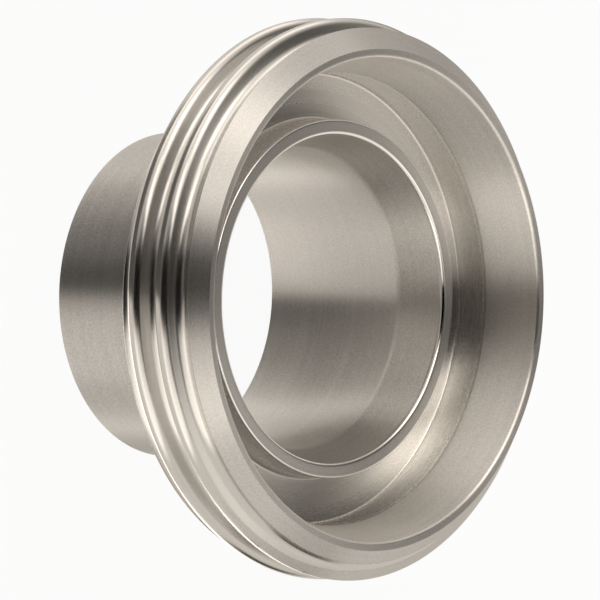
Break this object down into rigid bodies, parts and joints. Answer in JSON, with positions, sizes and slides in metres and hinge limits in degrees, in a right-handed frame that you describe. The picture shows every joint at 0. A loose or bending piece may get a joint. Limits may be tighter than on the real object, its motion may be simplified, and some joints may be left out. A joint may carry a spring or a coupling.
{
  "type": "male weld fitting",
  "caption": "Threaded male half of a dairy pipe union: a short weld-on tube end with a round-threaded head, a coned mouth and a groove for the sealing ring.",
  "frame": {"origin": "centre of the weld end's face, on the axis, at the bottom", "axes": "+Z along the axis from the weld end to the threaded mouth; X and Y square to it, with the thread's groove meeting the head's back face 95 degrees from +X towards +Y"},
  "size_m": [0.065, 0.065, 0.033],
  "materials": {
    "stainless_steel": "finely turned, bare"
  },
  "bodies": {
    "root": {"weld_fitting": "stainless_steel"}
  },
  "joints": []
}
